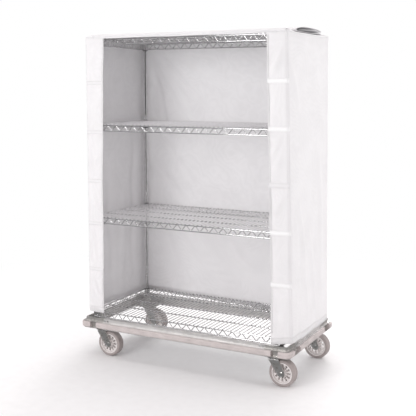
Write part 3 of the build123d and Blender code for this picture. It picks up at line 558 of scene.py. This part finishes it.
def cover_stitching(material):
    """Hem, edge and seam stitches of the wall."""
    parts = []
    round_wall = np.linspace(0.004, WALL_END - 0.004, 900)
    parts += wall_stitch_line(round_wall, hem_level(round_wall) + HEM_HEIGHT - 0.004, FABRIC / 2 + HEM_THICKNESS)
    down = np.linspace(HEM_Z + 0.05, EDGE_Z - 0.015, 300)
    for s in (0.010, WALL_END - 0.010):
        parts += wall_stitch_line(np.full_like(down, s), down, FABRIC / 2 + EDGE_HEM_THICKNESS)
    for s in CORNERS:
        for step in (-0.006, 0.006):
            parts += wall_stitch_line(np.full_like(down, s + step), down)
    return joined("cover_stitching", parts, material)


# --- Closure tapes ---------------------------------------------------------------------------------------------


def closure_tapes(bright, plain, thread):
    """Hook-and-loop tapes across the front strips, sewn top and bottom: bright on the right strip but for one, and
    as dull as the cloth elsewhere."""
    bright_parts, plain_parts, stitch_parts = [], [], []
    left_run = np.linspace(0.003, FRONT_LEFT + 0.006, 26)
    right_run = np.linspace(FRONT_RIGHT - 0.008, WALL_END - 0.0015, 26)
    tapes = [(left_run, z, TAPE_HALF_LEFT, plain_parts) for z in LEFT_TAPE_Z]
    for index, z in enumerate(RIGHT_TAPE_Z):
        tapes.append((right_run, z, TAPE_HALF_RIGHT, plain_parts if index == PLAIN_RIGHT_TAPE else bright_parts))
    for s, z, half, parts in tapes:
        slope = rng.uniform(-0.002, 0.002) * np.linspace(0, 1, len(s))
        parts.append(band(s, z - half + slope, z + half + slope, TAPE_THICKNESS))
        for offset in (-half + TAPE_STITCH_INSET, half - TAPE_STITCH_INSET):
            stitch_parts += wall_stitch_line(s[1:-1], z + offset + slope[1:-1], FABRIC / 2 + TAPE_THICKNESS)
    return [
        joined("closure_tapes_hook", bright_parts, bright),
        joined("closure_tapes_loop", plain_parts, plain),
        joined("closure_tape_stitching", stitch_parts, thread),
    ]


# --- The folded door -------------------------------------------------------------------------------------------

# The door, thrown back over the top and folded to and fro: its flat length, and its run from the front edge to its
# free hem as (front-to-back, height above the top shelf), at its right end and elsewhere
DOOR_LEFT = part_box("cover_door_panel")[0].x
DOOR_RIGHT = 0.603
DOOR_ROWS = 210
DOOR_COLUMNS = 150
DOOR_RIGHT_END = (
    (-0.3140, 0.003), (-0.3185, 0.011), (-0.3080, 0.0185), (-0.2700, 0.0155), (-0.1700, 0.0075),
    (-0.0200, 0.0060), (0.1200, 0.0065), (0.1900, 0.0085), (0.2060, 0.0140), (0.1880, 0.0185),
    (0.0900, 0.0150), (-0.0400, 0.0150), (-0.1450, 0.0135), (-0.1760, 0.0190), (-0.1600, 0.0265),
    (-0.0900, 0.0370), (0.0200, 0.0420), (0.1200, 0.0400), (0.1900, 0.0330), (0.2080, 0.0275),
    (0.1900, 0.0235), (0.1100, 0.0300), (0.0100, 0.0270), (-0.0900, 0.0215),
)
DOOR_MIDDLE = (
    (-0.3140, 0.003), (-0.3185, 0.011), (-0.3080, 0.0180), (-0.2700, 0.0140), (-0.1700, 0.0065),
    (-0.0200, 0.0055), (0.1200, 0.0060), (0.1860, 0.0075), (0.2010, 0.0105), (0.1830, 0.0135),
    (0.0900, 0.0110), (-0.0400, 0.0110), (-0.1500, 0.0110), (-0.1790, 0.0150), (-0.1600, 0.0200),
    (-0.0900, 0.0215), (0.0200, 0.0220), (0.1200, 0.0215), (0.1850, 0.0225), (0.2020, 0.0200),
    (0.1840, 0.0170), (0.1100, 0.0160), (0.0100, 0.0160), (-0.0900, 0.0158),
)


def spline(points, count):
    """A smooth curve through points, evenly spaced along its length."""
    points = np.asarray(points)
    padded = np.vstack([2 * points[0] - points[1], points, 2 * points[-1] - points[-2]])
    dense = []
    for i in range(len(points) - 1):
        p0, p1, p2, p3 = padded[i:i + 4]
        for t in np.linspace(0, 1, 24, endpoint=False):
            dense.append(0.5 * (2 * p1 + (p2 - p0) * t + (2 * p0 - 5 * p1 + 4 * p2 - p3) * t ** 2
                                + (3 * p1 - p0 - 3 * p2 + p3) * t ** 3))
    dense.append(points[-1])
    dense = np.array(dense)
    run = np.concatenate([[0], np.cumsum(np.linalg.norm(np.diff(dense, axis=0), axis=1))])
    at = np.linspace(0, run[-1], count)
    return np.stack([np.interp(at, run, dense[:, k]) for k in range(dense.shape[1])], -1)


def door_points():
    """The door's middle surface: rows run from its seam at the front edge to its free hem. Both ends are looser
    than the middle."""
    right, middle = spline(DOOR_RIGHT_END, DOOR_ROWS), spline(DOOR_MIDDLE, DOOR_ROWS)
    x = np.linspace(DOOR_LEFT, DOOR_RIGHT, DOOR_COLUMNS)
    t = np.linspace(0, 1, DOOR_ROWS)[:, None]
    share = smoothstep(x, 0.30, 0.57)[None, :] + 0.35 * (1 - smoothstep(x, DOOR_LEFT, -0.40))[None, :]
    y = middle[:, :1] * (1 - share) + right[:, :1] * share
    z = middle[:, 1:] * (1 - share) + right[:, 1:] * share
    loose = smoothstep(t, 0.06, 0.30)
    y = y + loose * (0.0035 * np.sin(x * 9 + 1) + 0.0020 * np.sin(x * 21 + 4 * t))
    ripple = 0.5 + 0.5 * np.sin(x * 14 + 5 * t)
    z = z + loose * z * 0.05 * ripple
    x = x + 0.006 * np.sin(t * 23 + 1) * smoothstep(x, 0.45, 0.60)
    x = x - 0.006 * np.sin(t * 19) * (1 - smoothstep(x, DOOR_LEFT, -0.45))
    over = top_level(x, y) - EDGE_Z
    return np.stack([x, y, SHELF_TOP + z + over * loose * 0.7], -1)


def cover_door(material):
    """The door as one folded sheet."""
    return cloth("cover_door", door_points(), material)


# --- Materials -------------------------------------------------------------------------------------------------


class Finish:
    """A procedural material being put together round one Principled shader."""

    def __init__(self, name, metallic=0.0, **fixed):
        self.material = bpy.data.materials.new(name)
        self.material.use_nodes = True
        self.nodes = self.material.node_tree.nodes
        self.links = self.material.node_tree.links
        self.shader = self.nodes["Principled BSDF"]
        self.shader.inputs["Metallic"].default_value = metallic
        for socket, value in fixed.items():
            self.shader.inputs[socket.replace("_", " ")].default_value = value
        self.place = self.nodes.new("ShaderNodeTexCoord").outputs["Object"]
        self.height = None

    def math(self, operation, a, b=None):
        """A math node on one or two values, each a number or a socket."""
        node = self.nodes.new("ShaderNodeMath")
        node.operation = operation
        for socket, value in zip(node.inputs, (a, b)):
            if isinstance(value, (int, float)):
                socket.default_value = value
            elif value is not None:
                self.links.new(value, socket)
        return node.outputs[0]

    def noise(self, size, detail=3.0, stretch=(1, 1, 1), roughness=0.5):
        """Noise with lumps about size metres across, longer where stretch is larger."""
        mapping = self.nodes.new("ShaderNodeMapping")
        mapping.inputs["Scale"].default_value = [1 / k for k in stretch]
        self.links.new(self.place, mapping.inputs["Vector"])
        node = self.nodes.new("ShaderNodeTexNoise")
        node.inputs["Scale"].default_value = 1 / size
        node.inputs["Detail"].default_value = detail
        node.inputs["Roughness"].default_value = roughness
        self.links.new(mapping.outputs["Vector"], node.inputs["Vector"])
        return node.outputs["Fac"]

    def cells(self, size):
        """Distance to the nearest of scattered points size metres apart."""
        node = self.nodes.new("ShaderNodeTexVoronoi")
        node.inputs["Scale"].default_value = 1 / size
        self.links.new(self.place, node.inputs["Vector"])
        return node.outputs["Distance"]

    def threads(self, period):
        """A plain weave: waves along the three axes added up, from 0 to 1."""
        parts = self.nodes.new("ShaderNodeSeparateXYZ")
        self.links.new(self.place, parts.inputs[0])
        total = 0.0
        for axis in range(3):
            wave = self.math("SINE", self.math("MULTIPLY", parts.outputs[axis], 2 * math.pi / period))
            total = self.math("ADD", wave, total)
        return self.math("ADD", self.math("MULTIPLY", total, 0.167), 0.5)

    def ramp(self, value, stops):
        """Colours along a value, as (place, (red, green, blue)) stops."""
        node = self.nodes.new("ShaderNodeValToRGB")
        elements = node.color_ramp.elements
        while len(elements) < len(stops):
            elements.new(0.5)
        for element, (place, colour) in zip(elements, stops):
            element.position = place
            element.color = (*colour, 1)
        self.links.new(value, node.inputs[0])
        return node.outputs["Color"]

    def tint(self, colour, other):
        """Multiplies two colours."""
        node = self.nodes.new("ShaderNodeMix")
        node.data_type = "RGBA"
        node.blend_type = "MULTIPLY"
        node.inputs[0].default_value = 1.0
        self.links.new(colour, node.inputs[6])
        self.links.new(other, node.inputs[7])
        return node.outputs[2]

    def base(self, colour):
        """Sets the base colour."""
        self.links.new(colour, self.shader.inputs["Base Color"])

    def roughness(self, value, low, high):
        """Lets the roughness run between two limits with a value."""
        node = self.nodes.new("ShaderNodeMapRange")
        node.inputs["From Min"].default_value = 0.3
        node.inputs["From Max"].default_value = 0.7
        node.inputs["To Min"].default_value = low
        node.inputs["To Max"].default_value = high
        self.links.new(value, node.inputs["Value"])
        self.links.new(node.outputs["Result"], self.shader.inputs["Roughness"])

    def raised(self, value, depth):
        """Adds relief of some depth in metres."""
        part = self.math("MULTIPLY", value, depth)
        self.height = part if self.height is None else self.math("ADD", self.height, part)

    def done(self):
        """Connects the relief and gives the material."""
        if self.height is not None:
            bump = self.nodes.new("ShaderNodeBump")
            bump.inputs["Strength"].default_value = 1.0
            bump.inputs["Distance"].default_value = 1.0
            self.links.new(self.height, bump.inputs["Height"])
            self.links.new(bump.outputs["Normal"], self.shader.inputs["Normal"])
        return self.material


def chrome(name, bright, rough_low, rough_high):
    """Bright plating over drawn wire: clear reflections, with dull and slightly warm patches."""
    metal = Finish(name, metallic=1.0)
    patches = metal.noise(0.02, 4.0)
    dull, shine = (bright * 0.86, bright * 0.85, bright * 0.85), (bright, bright * 0.99, bright)
    metal.base(metal.ramp(patches, ((0.35, dull), (0.6, shine))))
    metal.roughness(metal.noise(0.006, 3.0), rough_low, rough_high)
    metal.raised(metal.noise(0.0025, 2.0), 0.00002)
    return metal.done()


def fabric(name, colour):
    """White woven nylon with a faint sheen, a fine weave and slight clouding. Light from behind glows through it."""
    nylon = Finish(name, Sheen_Weight=0.15, Sheen_Roughness=0.4, Specular_IOR_Level=0.3,
                   Subsurface_Weight=0.45, Subsurface_Scale=0.004)
    nylon.shader.inputs["Subsurface Radius"].default_value = (1.0, 1.0, 1.0)
    clouds = nylon.noise(0.12, 4.0)
    shade = tuple(0.965 * c for c in colour)
    tone = nylon.ramp(clouds, ((0.35, shade), (0.65, colour)))
    weave = nylon.threads(0.0008)
    thread_tone = nylon.ramp(weave, ((0.2, (0.95, 0.95, 0.95)), (0.8, (1, 1, 1))))
    nylon.base(nylon.tint(tone, thread_tone))
    nylon.roughness(nylon.noise(0.05), 0.62, 0.78)
    nylon.raised(weave, 0.00002)
    nylon.raised(nylon.noise(0.010, 3.0), 0.00025)
    return nylon.done()


def hook_and_loop(name, colour):
    """Tape with a dense felt of loops."""
    tape = Finish(name, Sheen_Weight=0.4, Sheen_Roughness=0.5, Specular_IOR_Level=0.2)
    loops = tape.cells(0.0012)
    shade = tuple(0.93 * c for c in colour)
    tape.base(tape.ramp(loops, ((0.0, colour), (0.7, shade))))
    tape.roughness(loops, 0.8, 0.95)
    tape.raised(loops, -0.0003)
    return tape.done()


def thread_finish():
    """Twisted polyester sewing thread."""
    thread = Finish("sewing_thread", Sheen_Weight=0.2)
    twist = thread.noise(0.0006, 2.0)
    thread.base(thread.ramp(twist, ((0.3, (0.60, 0.59, 0.60)), (0.7, (0.74, 0.73, 0.74)))))
    thread.roughness(twist, 0.5, 0.7)
    return thread.done()


def aluminium(name, colour, rough_low, rough_high):
    """Extruded aluminium, with die lines that lie level along the rails. Its dull skin is only partly metallic."""
    metal = Finish(name, metallic=0.6)
    lines = metal.noise(0.0012, 4.0, stretch=(40, 40, 1))
    clouds = metal.noise(0.05, 4.0)
    shade = tuple(0.86 * c for c in colour)
    tone = metal.ramp(clouds, ((0.3, shade), (0.7, colour)))
    streaks = metal.ramp(lines, ((0.3, (0.90, 0.90, 0.90)), (0.7, (1, 1, 1))))
    metal.base(metal.tint(tone, streaks))
    metal.roughness(lines, rough_low, rough_high)
    metal.raised(lines, 0.00003)
    return metal.done()


def cast_metal(name, colour):
    """Sand-cast aluminium: a pebbled skin and darker pores."""
    metal = Finish(name, metallic=0.9)
    grain = metal.noise(0.0022, 5.0, roughness=0.6)
    clouds = metal.noise(0.04, 4.0)
    shade = tuple(0.82 * c for c in colour)
    tone = metal.ramp(clouds, ((0.3, shade), (0.7, colour)))
    pores = metal.ramp(grain, ((0.25, (0.80, 0.80, 0.80)), (0.5, (1, 1, 1))))
    metal.base(metal.tint(tone, pores))
    metal.roughness(grain, 0.35, 0.55)
    metal.raised(grain, 0.00025)
    return metal.done()


def zinc(name, colour, rough_low, rough_high):
    """Zinc plate on pressed steel: a soft lustre with faint cloudy spangle and a trace of straw colour."""
    metal = Finish(name, metallic=1.0)
    spangle = metal.cells(0.004)
    clouds = metal.noise(0.015, 3.0)
    warm = (colour[0] * 0.96, colour[1] * 0.94, colour[2] * 0.90)
    tone = metal.ramp(clouds, ((0.35, warm), (0.65, colour)))
    flecks = metal.ramp(spangle, ((0.1, (0.92, 0.92, 0.93)), (0.7, (1, 1, 1))))
    metal.base(metal.tint(tone, flecks))
    metal.roughness(clouds, rough_low, rough_high)
    metal.raised(metal.noise(0.003, 3.0), 0.00003)
    return metal.done()


def vinyl(name, colour):
    """The extruded bumper: soft matt vinyl with lengthwise rub marks."""
    skin = Finish(name, Specular_IOR_Level=0.45)
    clouds = skin.noise(0.06, 5.0)
    rubs = skin.noise(0.003, 4.0, stretch=(14, 14, 1))
    shade = tuple(0.86 * c for c in colour)
    tone = skin.ramp(clouds, ((0.3, shade), (0.7, colour)))
    marks = skin.ramp(rubs, ((0.30, (0.84, 0.84, 0.84)), (0.55, (1, 1, 1))))
    skin.base(skin.tint(tone, marks))
    skin.roughness(rubs, 0.42, 0.62)
    skin.raised(skin.noise(0.0012, 2.0), 0.00005)
    skin.raised(rubs, 0.00006)
    return skin.done()


def moulded(name, colour, low, high, relief=0.00003):
    """Moulded plastic or rubber with a fine, slightly uneven skin."""
    skin = Finish(name, Specular_IOR_Level=0.4)
    clouds = skin.noise(0.02, 4.0)
    shade = tuple(0.88 * c for c in colour)
    skin.base(skin.ramp(clouds, ((0.3, shade), (0.7, colour))))
    skin.roughness(clouds, low, high)
    skin.raised(skin.noise(0.0012, 2.0), relief)
    return skin.done()


def finishes():
    """One material for each of the record's slots."""
    return {
        "chrome_wire": chrome("chrome_wire", 0.84, 0.05, 0.14),
        "chrome_collar": chrome("chrome_collar", 0.82, 0.08, 0.20),
        "chrome_post": chrome("chrome_post", 0.82, 0.05, 0.14),
        "sleeve_plastic": moulded("sleeve_plastic", (0.05, 0.05, 0.052), 0.40, 0.55),
        "cap_plastic": moulded("cap_plastic", (0.10, 0.10, 0.10), 0.40, 0.55),
        "cover_fabric": fabric("cover_fabric", (0.86, 0.85, 0.865)),
        "closure_tape": hook_and_loop("closure_tape", (0.95, 0.95, 0.96)),
        "rail_aluminium": aluminium("rail_aluminium", (0.93, 0.91, 0.90), 0.34, 0.50),
        "cast_aluminium": cast_metal("cast_aluminium", (0.76, 0.74, 0.72)),
        "zinc_fastener": zinc("zinc_fastener", (0.74, 0.74, 0.75), 0.25, 0.40),
        "zinc_steel": zinc("zinc_steel", (0.80, 0.79, 0.79), 0.25, 0.42),
        "bumper_vinyl": vinyl("bumper_vinyl", (0.66, 0.60, 0.59)),
        "wheel_plastic": moulded("wheel_plastic", (0.86, 0.82, 0.81), 0.40, 0.55),
        "bushing_nylon": moulded("bushing_nylon", (0.72, 0.70, 0.66), 0.35, 0.50),
        "tyre_rubber": moulded("tyre_rubber", (0.42, 0.37, 0.362), 0.50, 0.68, relief=0.00006),
    }


def paint_frame(made):
    """Gives every CAD node the material of its slot in the record."""
    for part in frame["record"]["subparts"]:
        mesh = frame["nodes"][part["node"]].data
        mesh.materials.clear()
        mesh.materials.append(made[part["material_slot"]])


# --- Stage, light and camera -----------------------------------------------------------------------------------


def stage():
    """A wide pale floor that turns as white as the backdrop a few metres out, and is duller in the plating."""
    paint = Finish("floor_paint", Specular_IOR_Level=0.2)
    paint.base(paint.ramp(paint.noise(0.05), ((0.3, (0.92, 0.92, 0.925)), (0.7, (0.95, 0.95, 0.955)))))
    paint.shader.inputs["Roughness"].default_value = 0.8
    reach = paint.nodes.new("ShaderNodeVectorMath")
    reach.operation = "LENGTH"
    paint.links.new(paint.place, reach.inputs[0])
    far = paint.nodes.new("ShaderNodeMapRange")
    far.interpolation_type = "SMOOTHSTEP"
    far.inputs["From Min"].default_value = FLOOR_NEAR
    far.inputs["From Max"].default_value = FLOOR_FAR
    paint.links.new(reach.outputs["Value"], far.inputs["Value"])
    glow = paint.nodes.new("ShaderNodeEmission")
    glow.inputs["Strength"].default_value = 1.0
    mix = paint.nodes.new("ShaderNodeMixShader")
    paint.links.new(far.outputs["Result"], mix.inputs[0])
    paint.links.new(paint.shader.outputs[0], mix.inputs[1])
    paint.links.new(glow.outputs[0], mix.inputs[2])
    seen = paint.nodes.new("ShaderNodeLightPath")
    mirrored = paint.nodes.new("ShaderNodeEmission")
    mirrored.inputs["Strength"].default_value = MIRRORED_FLOOR
    swap = paint.nodes.new("ShaderNodeMixShader")
    paint.links.new(seen.outputs["Is Glossy Ray"], swap.inputs[0])
    paint.links.new(mix.outputs[0], swap.inputs[1])
    paint.links.new(mirrored.outputs[0], swap.inputs[2])
    paint.links.new(swap.outputs[0], paint.nodes["Material Output"].inputs["Surface"])
    corners = [(x * FLOOR_HALF, y * FLOOR_HALF, 0) for x, y in ((-1, -1), (1, -1), (1, 1), (-1, 1))]
    floor = add_object("floor", corners, [(0, 1, 2, 3)], paint.material)


def area_light(name, place, target, size, power):
    """A white panel of light at a place, turned to a target; the camera does not see it."""
    data = bpy.data.lights.new(name, "AREA")
    data.shape = "RECTANGLE"
    data.size, data.size_y = size
    data.energy = power
    obj = bpy.data.objects.new(name, data)
    obj.location = place
    obj.rotation_euler = (Vector(target) - Vector(place)).to_track_quat("-Z", "Y").to_euler()
    obj.visible_camera = False
    bpy.context.scene.collection.objects.link(obj)


def world():
    """A white backdrop for the camera, even light for the surfaces, and surroundings that darken towards the
    horizon for the plating to reflect."""
    scene = bpy.context.scene
    scene.world = bpy.data.worlds.new("studio")
    scene.world.use_nodes = True
    nodes, links = scene.world.node_tree.nodes, scene.world.node_tree.links
    nodes.clear()
    place = nodes.new("ShaderNodeTexCoord")
    parts = nodes.new("ShaderNodeSeparateXYZ")
    ramp = nodes.new("ShaderNodeValToRGB")
    for element, position, colour in zip(ramp.color_ramp.elements, (0.0, SKY_FROM), (HORIZON, SKY)):
        element.position = position
        element.color = colour
    surround = nodes.new("ShaderNodeBackground")
    backdrop = nodes.new("ShaderNodeBackground")
    backdrop.inputs["Color"].default_value = (1, 1, 1, 1)
    seen = nodes.new("ShaderNodeLightPath")
    ambient = nodes.new("ShaderNodeBackground")
    ambient.inputs["Color"].default_value = AMBIENT
    mirrored = nodes.new("ShaderNodeMixShader")
    mix = nodes.new("ShaderNodeMixShader")
    output = nodes.new("ShaderNodeOutputWorld")
    links.new(place.outputs["Generated"], parts.inputs[0])
    links.new(parts.outputs[2], ramp.inputs[0])
    links.new(ramp.outputs["Color"], surround.inputs["Color"])
    links.new(seen.outputs["Is Camera Ray"], mix.inputs[0])
    links.new(seen.outputs["Is Glossy Ray"], mirrored.inputs[0])
    links.new(ambient.outputs[0], mirrored.inputs[1])
    links.new(surround.outputs[0], mirrored.inputs[2])
    links.new(mirrored.outputs[0], mix.inputs[1])
    links.new(backdrop.outputs[0], mix.inputs[2])
    links.new(mix.outputs[0], output.inputs["Surface"])


def lights():
    """A broad front light, fills for both sides, one above, and one behind that shines through the cloth."""
    area_light("key", (-1.2, -4.8, 2.4), (0, 0, 1.0), (1.5, 1.5), 72)
    area_light("left_fill", (-4.2, -3.6, 2.0), (0, 0, 0.9), (2.0, 2.4), 8)
    area_light("right_side", (4.8, 0.9, 2.0), (0.6, 0, 0.9), (2.2, 2.6), 46)
    area_light("overhead", (0, 0, 5.5), (0, 0, 1.0), (4.0, 4.0), 50)
    area_light("behind", (-0.6, 4.6, 2.2), (0, 0, 1.3), (3.0, 2.0), 140)


def camera():
    """The product view: from the front right, a little below the top of the cover."""
    azimuth, elevation = math.radians(CAMERA_AZIMUTH), math.radians(CAMERA_ELEVATION)
    back = Vector((
        math.sin(azimuth) * math.cos(elevation),
        -math.cos(azimuth) * math.cos(elevation),
        math.sin(elevation),
    ))
    data = bpy.data.cameras.new("camera")
    data.sensor_width = 36
    data.lens = LENS
    data.shift_y = LENS_SHIFT
    obj = bpy.data.objects.new("camera", data)
    obj.location = Vector(CAMERA_TARGET) + CAMERA_DISTANCE * back
    obj.rotation_euler = (-back).to_track_quat("-Z", "Y").to_euler()
    bpy.context.scene.collection.objects.link(obj)
    bpy.context.scene.camera = obj


# --- Putting it together ---------------------------------------------------------------------------------------


def build():
    """Gives the frame its materials, makes the cover, hangs its pieces on the truck's body and hides the frame's
    nodes that they replace.
    """
    made = finishes()
    paint_frame(made)
    cloth_finish, thread = made["cover_fabric"], thread_finish()
    wall_sheet = cover_wall(cloth_finish)
    header = cover_header(cloth_finish)
    top = cover_top(cloth_finish)
    door = cover_door(cloth_finish)
    binding = cover_binding(fabric("binding_tape", (0.93, 0.93, 0.94)))
    seams = corner_seams(cloth_finish)
    hem = hem_band(cloth_finish)
    edges = free_edge_bands(cloth_finish)
    sewing = cover_stitching(thread)
    plain_tape = hook_and_loop("closure_tape_plain", (0.84, 0.83, 0.845))
    tapes = closure_tapes(made["closure_tape"], plain_tape, thread)

    fabric_pieces = (wall_sheet, header, top, door, binding, seams, hem, edges, sewing)
    for piece in (*fabric_pieces, *tapes):
        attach(piece, BODY)
    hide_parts(*WALL_NODES)
    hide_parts("cover_front_header")
    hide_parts("cover_top_panel")
    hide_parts("cover_door_panel")
    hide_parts("closure_tapes")


bpy.context.scene.view_settings.view_transform = "Standard"
camera()
stage()
world()
lights()
build()
